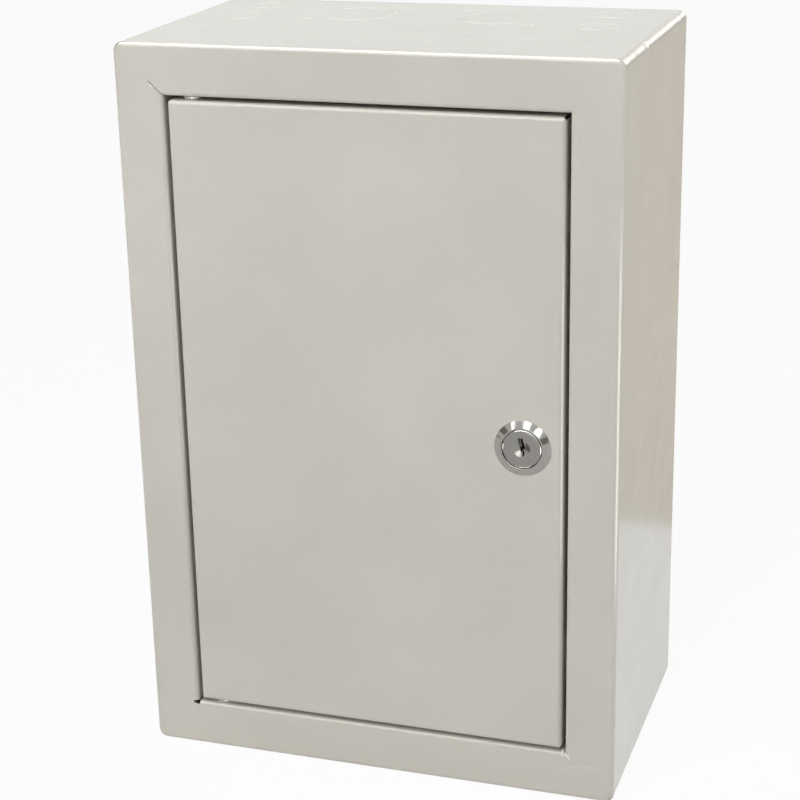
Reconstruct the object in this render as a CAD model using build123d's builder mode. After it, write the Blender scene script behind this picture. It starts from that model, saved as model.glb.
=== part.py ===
from build123d import *
import os

os.makedirs("parts", exist_ok=True)

# Small steel wall cabinet with a flush door, in millimetres.
# The origin is the centre of the back's outer face: X to the right, the door faces -Y, Z up.

# Outside of the cabinet, without the lock
cabinet_width = 200.0
cabinet_height = 300.0
cabinet_depth = 120.0

# Sheet, folds and welded edges
shell_sheet = 1.0
door_sheet = 1.0
fold_radius = 1.0          # inside radius of each fold
seam_radius = 3.9          # walls are welded along the depth edges and dressed round
seam_fill = 1.9            # weld inside the same edges
door_corner_nip = 1.4

# Front border, its lips and the door in it
border_width = 20.0
lip_depth = 12.0
door_gap = 1.5
door_flange = 12.0
mitre_gap = 0.8            # slot between two lips or flanges that meet at a corner
mitre_reach = 3.0
corner_notch = 2.6         # open notch of the sheet at the lower left corner
corner_notch_out = 1.0     # how far its middle lies outside the opening's corner
crack_width = 0.3          # weld left open at the upper left corner
crack_length = 8.0

# Two tabs of the right lip stop the door
stop_tab_width = 14.0
stop_tab_reach = 5.0
stop_tab_height = 90.0     # above and below the middle
stop_clearance = 0.3

# Wall fixing holes in the back
wall_hole_diameter = 7.0
wall_hole_inset = 25.0     # from the cabinet's edges

# Knockouts in the top wall, placed from the back
large_knockout_diameter = 31.6
large_knockout_spacing = 60.0
large_knockout_from_back = 34.5
small_knockout_diameter = 15.6
small_knockout_shift = 0.7     # outwards from midway between a large one and the edge
small_knockout_from_back = 33.5
small_knockout_row = 30.0
screw_knockout_diameter = 4.2
screw_knockout_offset = 16.2   # beside a large one, along X and along Y
screw_knockout_sides = 12      # punched round, drawn with sides as it is tiny
knockout_gap = 0.45
knockout_tab_width = 1.2
knockout_tab_bite = 0.4

# Riveted hinge pins
hinge_inset = 9.0          # from the door's left edge
hinge_setback = 5.5        # behind the door's face
pin_diameter = 4.0
pin_play = 0.05
pin_head_diameter = 6.5
pin_head_height = 1.5
pin_rivet_diameter = 5.6   # the end upset inside the door
pin_rivet_height = 1.2
washer_diameter = 6.5
end_play = 0.1             # between the door and what it turns against

# Cam lock
lock_inset = 16.0          # from the door's right edge
lock_height = 0.0
rosette_diameter = 22.5
rosette_edge = 0.5
rosette_height = 1.9
rosette_rim_diameter = 17.0
barrel_diameter = 19.0
barrel_flats = 17.0
lock_hole_clearance = 0.15
plug_face_diameter = 15.8
plug_face_gap = 0.15
plug_face_sink = 0.2       # below the rim
plug_diameter = 12.0
plug_play = 0.05
dimple_diameter = 6.8
dimple_depth = 1.1
keyway_length = 8.4
keyway_width = 2.1
keyway_step = 1.1          # width of the lower half
keyway_depth = 9.0
keyway_lean = 13.0         # degrees, the top leans to the left
stop_lug_width = 3.0
stop_lug_diameter = 14.8
stop_lug_length = 1.5
stop_lug_gap = 0.2
cam_clearance = 2.0        # behind the lip
cam_thickness = 2.0
cam_hub_diameter = 18.0
cam_tip_diameter = 11.0
cam_reach = 27.0
drive_square = 8.0
drive_clearance = 0.1
lock_nut_flats = 24.0
lock_nut_height = 3.5
cam_screw_diameter = 4.0
cam_screw_flats = 7.0
cam_screw_head_height = 3.8    # with its flange
cam_flange_diameter = 12.0
cam_flange_thickness = 1.0
cam_screw_grip = 8.0       # length inside the plug

# Mounting plate on four studs with a hexagon shoulder, welded to the back
plate_clearance = 5.0      # from the opening's edge, so that the plate goes in through it
plate_sheet = 1.5
plate_corner_cut = 14.0    # leaves the heads of the wall screws free
plate_stud_inset_x = 20.0  # from the plate's edges
plate_stud_inset_z = 10.0
shoulder_flats = 10.0
shoulder_length = 10.0
plate_stud_thread = 10.0   # in front of the shoulder

# Threaded studs and their nuts
stud_diameter = 6.0
stud_sides = 24            # round, drawn with sides as studs and nuts repeat
stud_play = 0.05
nut_flats = 10.0
nut_height = 5.0
clearance_hole = 6.6

# Earth studs
earth_stud_above_bottom = 13.0
earth_stud_length = 16.0
door_stud_inset = 38.5     # from the door's left edge
door_stud_above_edge = 13.5
door_stud_length = 12.0

# Places worked out from the sizes above
shell_bend = fold_radius + shell_sheet
door_bend = fold_radius + door_sheet
opening_width = cabinet_width - 2 * border_width
opening_height = cabinet_height - 2 * border_width
door_width = opening_width - 2 * door_gap
door_height = opening_height - 2 * door_gap
front_y = -cabinet_depth
hinge_x = -door_width / 2 + hinge_inset
hinge_y = front_y + hinge_setback
lock_x = door_width / 2 - lock_inset
cam_depth = lip_depth + cam_clearance
barrel_length = cam_depth - 2 * end_play
plate_width = opening_width - 2 * plate_clearance
plate_height = opening_height - 2 * plate_clearance
plate_stud_spacing_x = plate_width - 2 * plate_stud_inset_x
plate_stud_spacing_z = plate_height - 2 * plate_stud_inset_z
plate_back = shell_sheet + shoulder_length
plate_front = plate_back + plate_sheet
door_stud_x = -door_width / 2 + door_stud_inset
door_stud_z = -door_height / 2 + door_stud_above_edge
earth_stud_z = -cabinet_height / 2 + earth_stud_above_bottom

opening_corners = [(sx * opening_width / 2, sz * opening_height / 2) for sx in (-1, 1) for sz in (-1, 1)]
door_corners = [(sx * door_width / 2, sz * door_height / 2) for sx in (-1, 1) for sz in (-1, 1)]
large_centres = [(side * large_knockout_spacing / 2, -large_knockout_from_back) for side in (-1, 1)]
# The small knockouts lie midway between the large ones' edges and the cabinet's sides
small_knockout_midway = (cabinet_width + large_knockout_spacing + large_knockout_diameter) / 4
small_knockout_x = small_knockout_midway + small_knockout_shift
small_centres = [
    (side * small_knockout_x, -small_knockout_from_back + row * small_knockout_row / 2)
    for side in (-1, 1)
    for row in (-1, 1)
]
knockouts = {
    "large_knockout_discs": (large_knockout_diameter, large_centres),
    "small_knockout_discs": (small_knockout_diameter, small_centres),
}
screw_centres = [
    (x + end * screw_knockout_offset, y - (1 if x > 0 else -1) * end * screw_knockout_offset)
    for x, y in large_centres
    for end in (-1, 1)
]


# The two tabs that tie a knockout disc to the wall around it
def knockout_tabs(diameter, centres):
    inner = diameter / 2 - knockout_tab_bite
    outer = diameter / 2 + 2 * knockout_gap
    with Locations(*centres):
        with PolarLocations((inner + outer) / 2, 2):
            Rectangle(outer - inner, knockout_tab_width, mode=Mode.SUBTRACT)


# Slots at 45 degrees on the given corners, for lips and flanges that were folded separately
def corner_slots(corners, reach, width):
    for x, z in corners:
        lean = 45 if x * z > 0 else -45
        with Locations((x, z)):
            Rectangle(2 * reach, width, rotation=lean)


# The space inside the folded cabinet
with BuildPart() as cavity:
    with BuildSketch(Plane.XZ.offset(shell_sheet)) as cavity_outline:
        Rectangle(cabinet_width - 2 * shell_sheet, cabinet_height - 2 * shell_sheet)
        chamfer(cavity_outline.vertices(), seam_fill)
    extrude(amount=cabinet_depth - 2 * shell_sheet)
    cavity_ends = cavity.faces().sort_by(Axis.Y)
    fillet(cavity_ends[0].edges() + cavity_ends[-1].edges(), fold_radius)

# Body: back, four walls and the border with its lips, folded from one sheet
with BuildPart() as body_shell:
    with BuildSketch(Plane.XZ):
        RectangleRounded(cabinet_width, cabinet_height, seam_radius)
    extrude(amount=cabinet_depth)
    shell_ends = body_shell.faces().sort_by(Axis.Y)
    fillet(shell_ends[0].edges() + shell_ends[-1].edges(), shell_bend)
    add(cavity.part, mode=Mode.SUBTRACT)

    # Lips run back from the border around the opening
    with BuildSketch(Plane.XZ.offset(cabinet_depth)):
        Rectangle(opening_width + 2 * shell_sheet, opening_height + 2 * shell_sheet)
    extrude(amount=-lip_depth)
    with BuildSketch(Plane.XZ.offset(cabinet_depth)):
        Rectangle(opening_width, opening_height)
    extrude(amount=-lip_depth, mode=Mode.SUBTRACT)
    border_back = body_shell.faces().filter_by(Axis.Y).filter_by(
        lambda face: abs(face.center().Y - front_y - shell_sheet) < 0.001
    )[0]
    fillet(border_back.inner_wires()[0].edges(), fold_radius)
    border_face = body_shell.faces().sort_by(Axis.Y)[0]
    fillet(border_face.inner_wires()[0].edges(), shell_bend)

    # Each lip ends short of its neighbour
    with BuildSketch(Plane.XZ.offset(cabinet_depth - shell_bend)):
        corner_slots(opening_corners, mitre_reach, mitre_gap)
    extrude(amount=-lip_depth, mode=Mode.SUBTRACT)

    # The lower left corner keeps the notch of the flat sheet, the upper left one an open weld
    with BuildSketch(Plane.XZ.offset(cabinet_depth)):
        with Locations((-opening_width / 2 - corner_notch_out, -opening_height / 2 - corner_notch_out)):
            Rectangle(corner_notch, corner_notch)
    extrude(amount=-lip_depth, mode=Mode.SUBTRACT)
    with BuildSketch(Plane.XZ.offset(cabinet_depth)):
        corner_slots([(-opening_width / 2, opening_height / 2)], crack_length, crack_width)
    extrude(amount=-shell_bend, mode=Mode.SUBTRACT)

    # Two tabs of the right lip turn in behind the door
    tab_face_y = front_y + door_flange + stop_clearance
    for tab_z in (-stop_tab_height, stop_tab_height):
        with BuildSketch(Plane.XY.offset(tab_z - stop_tab_width / 2)) as tab_profile:
            with BuildLine():
                Polyline(
                    (opening_width / 2, front_y + shell_bend),
                    (opening_width / 2 + shell_sheet, front_y + shell_bend),
                    (opening_width / 2 + shell_sheet, tab_face_y + shell_sheet),
                    (opening_width / 2 - stop_tab_reach, tab_face_y + shell_sheet),
                    (opening_width / 2 - stop_tab_reach, tab_face_y),
                    (opening_width / 2, tab_face_y),
                    close=True,
                )
            make_face()
            outer_turn = tab_profile.vertices().sort_by_distance(
                (opening_width / 2 + shell_sheet, tab_face_y + shell_sheet, tab_z - stop_tab_width / 2)
            )[0]
            inner_turn = tab_profile.vertices().sort_by_distance(
                (opening_width / 2, tab_face_y, tab_z - stop_tab_width / 2)
            )[0]
            fillet(outer_turn, shell_bend)
            fillet(inner_turn, fold_radius)
        extrude(amount=stop_tab_width)

    # Hinge pin holes through the upper and lower lips
    with BuildSketch(Plane.XY.offset(-opening_height / 2 - shell_bend)):
        with Locations((hinge_x, hinge_y)):
            Circle(pin_diameter / 2 + pin_play)
    extrude(amount=opening_height + 2 * shell_bend, mode=Mode.SUBTRACT)

    # Wall fixing holes in the back
    with BuildSketch(Plane.XZ):
        with GridLocations(cabinet_width - 2 * wall_hole_inset, cabinet_height - 2 * wall_hole_inset, 2, 2):
            Circle(wall_hole_diameter / 2)
    extrude(amount=shell_sheet, mode=Mode.SUBTRACT)

    # Knockouts in the top wall, each held by two tabs
    for diameter, centres in knockouts.values():
        with BuildSketch(Plane.XY.offset(cabinet_height / 2)):
            with Locations(*centres):
                Circle(diameter / 2 + knockout_gap)
            knockout_tabs(diameter, centres)
        extrude(amount=-shell_sheet, mode=Mode.SUBTRACT)
    with BuildSketch(Plane.XY.offset(cabinet_height / 2)):
        with Locations(*screw_centres):
            RegularPolygon(screw_knockout_diameter / 2 + knockout_gap, screw_knockout_sides)
    extrude(amount=-shell_sheet, mode=Mode.SUBTRACT)
body_shell.part.label = "body_shell"
export_step(body_shell.part, "parts/body_shell.step")

# The discs that are knocked out of the top wall for cables
for family, (diameter, centres) in knockouts.items():
    with BuildPart() as discs:
        with BuildSketch(Plane.XY.offset(cabinet_height / 2)):
            with Locations(*centres):
                Circle(diameter / 2)
            knockout_tabs(diameter, centres)
        extrude(amount=-shell_sheet)
    discs.part.label = family
    export_step(discs.part, f"parts/{family}.step")

with BuildPart() as screw_knockout_discs:
    with BuildSketch(Plane.XY.offset(cabinet_height / 2)):
        with Locations(*screw_centres):
            RegularPolygon(screw_knockout_diameter / 2, screw_knockout_sides)
    extrude(amount=-shell_sheet)
screw_knockout_discs.part.label = "screw_knockout_discs"
export_step(screw_knockout_discs.part, "parts/screw_knockout_discs.step")

# Door: a tray folded from one sheet, open at the back
with BuildPart() as door_cavity:
    with BuildSketch(Plane.XZ.offset(cabinet_depth - door_flange)):
        Rectangle(door_width - 2 * door_sheet, door_height - 2 * door_sheet)
    extrude(amount=door_flange - door_sheet)
    fillet(door_cavity.faces().sort_by(Axis.Y)[0].edges(), fold_radius)

with BuildPart() as door_panel:
    with BuildSketch(Plane.XZ.offset(cabinet_depth - door_flange)):
        Rectangle(door_width, door_height)
    extrude(amount=door_flange)
    fillet(door_panel.faces().sort_by(Axis.Y)[0].edges(), door_bend)
    add(door_cavity.part, mode=Mode.SUBTRACT)

    # The corners of the flat sheet are nipped off
    with BuildSketch(Plane.XZ.offset(cabinet_depth)):
        for x, z in door_corners:
            with Locations((x, z)):
                Rectangle(door_corner_nip * 2**0.5, door_corner_nip * 2**0.5, rotation=45)
    extrude(amount=-door_flange, mode=Mode.SUBTRACT)

    # The flanges meet at open mitres
    with BuildSketch(Plane.XZ.offset(cabinet_depth - door_bend)):
        corner_slots(door_corners, mitre_reach, mitre_gap)
    extrude(amount=-door_flange, mode=Mode.SUBTRACT)

    # Hinge pin holes through the upper and lower flanges
    with BuildSketch(Plane.XY.offset(-door_height / 2)):
        with Locations((hinge_x, hinge_y)):
            Circle(pin_diameter / 2 + pin_play)
    extrude(amount=door_height, mode=Mode.SUBTRACT)

    # The lock's hole has two flats that keep the barrel from turning
    with BuildSketch(Plane.XZ.offset(cabinet_depth)):
        with Locations((lock_x, lock_height)):
            Circle(barrel_diameter / 2 + lock_hole_clearance)
            Rectangle(
                barrel_diameter + 2 * lock_hole_clearance,
                barrel_flats + 2 * lock_hole_clearance,
                mode=Mode.INTERSECT,
            )
    extrude(amount=-door_sheet, mode=Mode.SUBTRACT)
door_panel.part.label = "door_panel"
export_step(door_panel.part, "parts/door_panel.step")

# Hinge: a riveted pin through lip and door flange, with a spacing washer between them
lip_top = opening_height / 2 + shell_sheet
rivet_top = door_height / 2 - door_sheet - end_play

with BuildPart() as hinge_pin_upper:
    with BuildSketch(Plane.XZ.offset(-hinge_y)):
        with BuildLine():
            Polyline(
                (hinge_x, rivet_top - pin_rivet_height),
                (hinge_x + pin_rivet_diameter / 2, rivet_top - pin_rivet_height),
                (hinge_x + pin_rivet_diameter / 2, rivet_top),
                (hinge_x + pin_diameter / 2, rivet_top),
                (hinge_x + pin_diameter / 2, lip_top),
                (hinge_x + pin_head_diameter / 2, lip_top),
                (hinge_x + pin_head_diameter / 2, lip_top + pin_head_height),
                (hinge_x, lip_top + pin_head_height),
                close=True,
            )
        make_face()
    revolve(axis=Axis((hinge_x, hinge_y, 0), (0, 0, 1)))
hinge_pin_upper.part.label = "hinge_pin_upper"
export_step(hinge_pin_upper.part, "parts/hinge_pin_upper.step")

with BuildPart() as hinge_pin_lower:
    mirror(hinge_pin_upper.part, about=Plane.XY)
hinge_pin_lower.part.label = "hinge_pin_lower"
export_step(hinge_pin_lower.part, "parts/hinge_pin_lower.step")

with BuildPart() as hinge_washer_upper:
    with BuildSketch(Plane.XY.offset(door_height / 2 + end_play)):
        with Locations((hinge_x, hinge_y)):
            Circle(washer_diameter / 2)
            Circle(pin_diameter / 2 + pin_play, mode=Mode.SUBTRACT)
    extrude(amount=door_gap - end_play)
hinge_washer_upper.part.label = "hinge_washer_upper"
export_step(hinge_washer_upper.part, "parts/hinge_washer_upper.step")

with BuildPart() as hinge_washer_lower:
    mirror(hinge_washer_upper.part, about=Plane.XY)
hinge_washer_lower.part.label = "hinge_washer_lower"
export_step(hinge_washer_lower.part, "parts/hinge_washer_lower.step")

# Cam lock, drawn on the door's face: heights are positive out of the door
lock_plane = Plane(origin=(lock_x, front_y, lock_height), x_dir=(1, 0, 0), z_dir=(0, -1, 0))
lock_axis = Axis((lock_x, front_y, lock_height), (0, 1, 0))
lock_side = Plane(origin=(lock_x, front_y, lock_height), x_dir=(1, 0, 0), z_dir=(0, 0, -1))
plug_face_height = rosette_height - plug_face_sink
plug_face_back = end_play
lug_length = (stop_lug_diameter - plug_diameter) / 2
lug_middle = (stop_lug_diameter + plug_diameter) / 4


# Rectangle and quarter ring that the stop lug sweeps while the plug makes its quarter turn
def stop_groove():
    lug_slot = stop_lug_width + 2 * stop_lug_gap
    Circle(stop_lug_diameter / 2 + stop_lug_gap)
    Rectangle(stop_lug_diameter, stop_lug_diameter, align=(Align.MAX, Align.MIN), mode=Mode.INTERSECT)
    with Locations((0, lug_middle)):
        Rectangle(lug_slot, lug_length + 2 * stop_lug_gap)
    with Locations((-lug_middle, 0)):
        Rectangle(lug_length + 2 * stop_lug_gap, lug_slot)


with BuildPart() as lock_housing:
    with BuildSketch(lock_side):
        with BuildLine():
            Polyline(
                (0, 0),
                (rosette_diameter / 2, 0),
                (rosette_diameter / 2, rosette_edge),
                (rosette_rim_diameter / 2, rosette_height),
                (0, rosette_height),
                close=True,
            )
        make_face()
    revolve(axis=lock_axis)
    with BuildSketch(lock_plane):
        Circle(barrel_diameter / 2)
        Rectangle(barrel_diameter, barrel_flats, mode=Mode.INTERSECT)
    extrude(amount=-barrel_length)
    with BuildSketch(lock_plane.offset(rosette_height)):
        Circle(plug_face_diameter / 2 + plug_face_gap)
    extrude(amount=-rosette_height, mode=Mode.SUBTRACT)
    with BuildSketch(lock_plane):
        Circle(plug_diameter / 2 + plug_play)
    extrude(amount=-barrel_length, mode=Mode.SUBTRACT)
    with BuildSketch(lock_plane.offset(-barrel_length)):
        stop_groove()
    extrude(amount=stop_lug_length + stop_lug_gap, mode=Mode.SUBTRACT)
lock_housing.part.label = "lock_housing"
export_step(lock_housing.part, "parts/lock_housing.step")

with BuildPart() as lock_nut:
    with BuildSketch(lock_plane.offset(-door_sheet)):
        RegularPolygon(lock_nut_flats / 2, 6, major_radius=False, rotation=30)
        Circle(barrel_diameter / 2 + stud_play, mode=Mode.SUBTRACT)
    extrude(amount=-lock_nut_height)
lock_nut.part.label = "lock_nut"
export_step(lock_nut.part, "parts/lock_nut.step")

# The plug turns in the barrel and ends in a square for the cam
with BuildPart() as lock_plug:
    with BuildSketch(lock_plane.offset(plug_face_back)):
        Circle(plug_face_diameter / 2)
    extrude(amount=plug_face_height - plug_face_back)
    with BuildSketch(lock_plane.offset(plug_face_back)):
        Circle(plug_diameter / 2)
    extrude(amount=-barrel_length - 2 * end_play)
    with BuildSketch(lock_plane.offset(-barrel_length)):
        with Locations((0, lug_middle)):
            Rectangle(stop_lug_width, lug_length)
        with Locations((0, plug_diameter / 4)):
            Rectangle(stop_lug_width, plug_diameter / 2)
        Circle(stop_lug_diameter / 2, mode=Mode.INTERSECT)
    extrude(amount=stop_lug_length)
    with BuildSketch(lock_plane.offset(end_play - barrel_length)):
        Rectangle(drive_square, drive_square)
    extrude(amount=-cam_thickness - 2 * end_play)
    with BuildSketch(lock_side):
        with BuildLine():
            Polyline(
                (0, plug_face_height - dimple_depth),
                (dimple_diameter / 2, plug_face_height),
                (0, plug_face_height),
                close=True,
            )
        make_face()
    revolve(axis=lock_axis, mode=Mode.SUBTRACT)
    with BuildSketch(lock_plane.offset(plug_face_height)):
        with Locations(Location((0, 0, 0), (0, 0, keyway_lean))):
            with Locations((0, keyway_length / 4)):
                Rectangle(keyway_width, keyway_length / 2)
            with Locations(((keyway_step - keyway_width) / 2, 0)):
                Rectangle(keyway_step, keyway_length)
    extrude(amount=-keyway_depth, mode=Mode.SUBTRACT)
    with BuildSketch(lock_plane.offset(-cam_depth - cam_thickness)):
        Circle(cam_screw_diameter / 2 + stud_play)
    extrude(amount=cam_screw_grip + end_play, mode=Mode.SUBTRACT)
lock_plug.part.label = "lock_plug"
export_step(lock_plug.part, "parts/lock_plug.step")

# The cam hangs down when unlocked and reaches behind the right lip after a quarter turn
with BuildPart() as lock_cam:
    with BuildSketch(lock_plane.offset(-cam_depth)):
        Circle(cam_hub_diameter / 2)
        with Locations((0, cam_tip_diameter / 2 - cam_reach)):
            Circle(cam_tip_diameter / 2)
        make_hull()
        Rectangle(drive_square + 2 * drive_clearance, drive_square + 2 * drive_clearance, mode=Mode.SUBTRACT)
    extrude(amount=-cam_thickness)
lock_cam.part.label = "lock_cam"
export_step(lock_cam.part, "parts/lock_cam.step")

# Hexagon screw with a flange that holds the cam on its square
with BuildPart() as cam_screw:
    with BuildSketch(lock_plane.offset(-cam_depth - cam_thickness)):
        Circle(cam_flange_diameter / 2)
    extrude(amount=-cam_flange_thickness)
    with BuildSketch(lock_plane.offset(-cam_depth - cam_thickness)):
        RegularPolygon(cam_screw_flats / 2, 6, major_radius=False)
    extrude(amount=-cam_screw_head_height)
    with BuildSketch(lock_plane.offset(-cam_depth - cam_thickness)):
        Circle(cam_screw_diameter / 2)
    extrude(amount=cam_screw_grip)
cam_screw.part.label = "cam_screw"
export_step(cam_screw.part, "parts/cam_screw.step")

# Mounting plate on the shoulders of four studs welded to the back
with BuildPart() as plate_studs:
    with BuildSketch(Plane.XZ.offset(shell_sheet)):
        with GridLocations(plate_stud_spacing_x, plate_stud_spacing_z, 2, 2):
            RegularPolygon(shoulder_flats / 2, 6, major_radius=False)
    extrude(amount=shoulder_length)
    with BuildSketch(Plane.XZ.offset(plate_back)):
        with GridLocations(plate_stud_spacing_x, plate_stud_spacing_z, 2, 2):
            RegularPolygon(stud_diameter / 2, stud_sides)
    extrude(amount=plate_stud_thread)
plate_studs.part.label = "plate_studs"
export_step(plate_studs.part, "parts/plate_studs.step")

with BuildPart() as mounting_plate:
    with BuildSketch(Plane.XZ.offset(plate_back)) as plate_outline:
        Rectangle(plate_width, plate_height)
        chamfer(plate_outline.vertices(), plate_corner_cut)
        with GridLocations(plate_stud_spacing_x, plate_stud_spacing_z, 2, 2):
            Circle(clearance_hole / 2, mode=Mode.SUBTRACT)
    extrude(amount=plate_sheet)
mounting_plate.part.label = "mounting_plate"
export_step(mounting_plate.part, "parts/mounting_plate.step")

with BuildPart() as plate_nuts:
    with BuildSketch(Plane.XZ.offset(plate_front)):
        with GridLocations(plate_stud_spacing_x, plate_stud_spacing_z, 2, 2):
            RegularPolygon(nut_flats / 2, 6, major_radius=False)
            RegularPolygon(stud_diameter / 2 + stud_play, stud_sides, mode=Mode.SUBTRACT)
    extrude(amount=nut_height)
plate_nuts.part.label = "plate_nuts"
export_step(plate_nuts.part, "parts/plate_nuts.step")

# Earth studs with their nuts, one on the cabinet's back and one inside the door
back_inside = Plane.XZ.offset(shell_sheet)
door_inside = Plane(origin=(0, front_y + door_sheet, 0), x_dir=(1, 0, 0), z_dir=(0, 1, 0))
earth_studs = {
    "body": (back_inside, (0, earth_stud_z), earth_stud_length),
    "door": (door_inside, (door_stud_x, -door_stud_z), door_stud_length),
}
for place, (seat, centre, length) in earth_studs.items():
    with BuildPart() as earth_stud:
        with BuildSketch(seat):
            with Locations(centre):
                RegularPolygon(stud_diameter / 2, stud_sides)
        extrude(amount=length)
    earth_stud.part.label = f"{place}_earth_stud"
    export_step(earth_stud.part, f"parts/{place}_earth_stud.step")
    with BuildPart() as earth_nut:
        with BuildSketch(seat):
            with Locations(centre):
                RegularPolygon(nut_flats / 2, 6, major_radius=False)
                RegularPolygon(stud_diameter / 2 + stud_play, stud_sides, mode=Mode.SUBTRACT)
        extrude(amount=nut_height)
    earth_nut.part.label = f"{place}_earth_nut"
    export_step(earth_nut.part, f"parts/{place}_earth_nut.step")
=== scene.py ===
import math

import bmesh
import bpy
from mathutils import Matrix, Vector, geometry, noise


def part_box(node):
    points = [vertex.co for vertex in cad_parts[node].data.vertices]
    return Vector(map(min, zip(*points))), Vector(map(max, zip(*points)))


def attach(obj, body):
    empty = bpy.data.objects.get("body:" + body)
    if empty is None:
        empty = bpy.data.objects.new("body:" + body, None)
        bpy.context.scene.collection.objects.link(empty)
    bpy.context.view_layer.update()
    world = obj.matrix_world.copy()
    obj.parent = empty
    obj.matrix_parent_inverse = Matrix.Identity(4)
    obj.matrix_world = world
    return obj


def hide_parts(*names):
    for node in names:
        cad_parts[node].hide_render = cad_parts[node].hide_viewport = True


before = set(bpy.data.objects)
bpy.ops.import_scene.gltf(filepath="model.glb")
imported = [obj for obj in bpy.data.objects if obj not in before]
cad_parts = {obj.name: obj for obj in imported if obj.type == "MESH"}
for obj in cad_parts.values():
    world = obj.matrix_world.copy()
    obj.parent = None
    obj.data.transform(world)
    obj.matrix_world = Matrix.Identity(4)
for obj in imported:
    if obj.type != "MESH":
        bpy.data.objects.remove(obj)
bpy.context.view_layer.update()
mm = 0.001

# Where things are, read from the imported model
shellLow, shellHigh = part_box("body_shell")
housingLow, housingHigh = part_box("lock_housing")
frontY = shellLow.y
floorZ = shellLow.z
lockX = (housingLow.x + housingHigh.x) / 2
lockZ = (housingLow.z + housingHigh.z) / 2
print("frame loaded, cabinet", [round(side, 4) for side in shellHigh - shellLow])


# Mesh helpers

def newObject(name, data):
    made = bpy.data.objects.new(name, data)
    bpy.context.scene.collection.objects.link(made)
    return made


def addPiece(name, vertices, faces, material, body, place=Matrix.Identity(4), sharpAngle=32):
    mesh = bpy.data.meshes.new(name)
    mesh.from_pydata([tuple(place @ Vector(v)) for v in vertices], [], faces)
    bm = bmesh.new()
    bm.from_mesh(mesh)
    bmesh.ops.remove_doubles(bm, verts=bm.verts, dist=0.003 * mm)
    bmesh.ops.recalc_face_normals(bm, faces=bm.faces)
    bm.to_mesh(mesh)
    bm.free()
    mesh.shade_smooth()
    mesh.set_sharp_from_angle(angle=math.radians(sharpAngle))
    mesh.materials.append(material)
    piece = newObject(name, mesh)
    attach(piece, body)
    return piece


def ringFaces(count, steps, closedProfile=True):
    # Quads between neighbouring rings, and from the last to the first where the profile is closed
    faces = []
    for ring in range(count if closedProfile else count - 1):
        below = ring * steps
        above = ((ring + 1) % count) * steps
        for step in range(steps):
            after = (step + 1) % steps
            faces.append((below + step, below + after, above + after, above + step))
    return faces


def rings(count, steps, reach):
    # Rings round the local Z axis, where reach gives radius and height for a ring and an angle
    vertices = []
    for ring in range(count):
        for step in range(steps):
            angle = 2 * math.pi * step / steps
            radius, height = reach(ring, angle)
            vertices.append((radius * math.cos(angle), radius * math.sin(angle), height))
    return vertices


def lathe(profile, steps, closedProfile=True):
    vertices = rings(len(profile), steps, lambda ring, angle: profile[ring])
    return vertices, ringFaces(len(profile), steps, closedProfile)


def joined(*parts):
    # One mesh from several (vertices, faces) pairs
    vertices = []
    faces = []
    for partVertices, partFaces in parts:
        offset = len(vertices)
        vertices += partVertices
        faces += [tuple(index + offset for index in face) for face in partFaces]
    return vertices, faces


def softened(profile, edge, steps=4):
    # Rounds each corner of a closed profile, apart from those on its axis
    soft = []
    for index, corner in enumerate(profile):
        here = Vector(corner)
        if here.x == 0:
            soft.append(tuple(here))
            continue
        before = Vector(profile[index - 1]) - here
        after = Vector(profile[(index + 1) % len(profile)]) - here
        enter = here + before.normalized() * min(edge, before.length / 2)
        leave = here + after.normalized() * min(edge, after.length / 2)
        for step in range(steps + 1):
            share = step / steps
            bend = enter * (1 - share) ** 2 + here * 2 * share * (1 - share) + leave * share ** 2
            soft.append(tuple(bend))
    return soft


def shifted(part, place):
    vertices, faces = part
    return [tuple(place @ Vector(v)) for v in vertices], faces


# Form of every thread
thread = {
    "depth": 0.61,       # of the pitch
    "filled": 0.9,       # share of that depth which plating and rounding leave
    "slope": 2.6,
    "crest": 0.3,
    "runIn": 0.6,        # of the pitch
    "tip": 1.1,          # chamfer, of the depth
    "tipSlope": 1.2,
    "core": 0.5,         # of the radius, at the tip
    "rowsPerTurn": 8,
    "steps": 28,
}


def groove(height, angle, pitch):
    # 0 on a thread's crest, 1 at its root
    phase = (height / pitch - angle / (2 * math.pi)) % 1.0
    return max(0.0, min(1.0, abs(phase - 0.5) * thread["slope"] - thread["crest"]))


def threadedRod(radius, length, pitch):
    # A rod from height 0 to length with a chamfered tip
    depth = thread["depth"] * pitch * thread["filled"]
    rows = int(length / pitch * thread["rowsPerTurn"])
    tip = depth * thread["tip"]

    def reach(ring, angle):
        if ring == 0:
            return 0.0, 0.0
        if ring == rows + 2:
            return 0.0, length
        height = length * (ring - 1) / rows
        run = min(1.0, max(0.0, height / (thread["runIn"] * pitch)))
        surface = radius - depth * groove(height, angle, pitch) * run
        cone = radius - tip + (length - height) * thread["tipSlope"]
        return max(min(surface, cone), radius * thread["core"]), height

    steps = thread["steps"]
    return rings(rows + 3, steps, reach), ringFaces(rows + 3, steps, closedProfile=False)


# Form of every nut and hexagon head, as shares of the width across its flats where not said
hexagon = {
    "faceCircle": 0.985,
    "chamfer": 28,       # degrees
    "countersink": 0.09,
    "countersinkDepth": 0.6,    # of the countersink's width
    "steps": 72,
}


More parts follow.
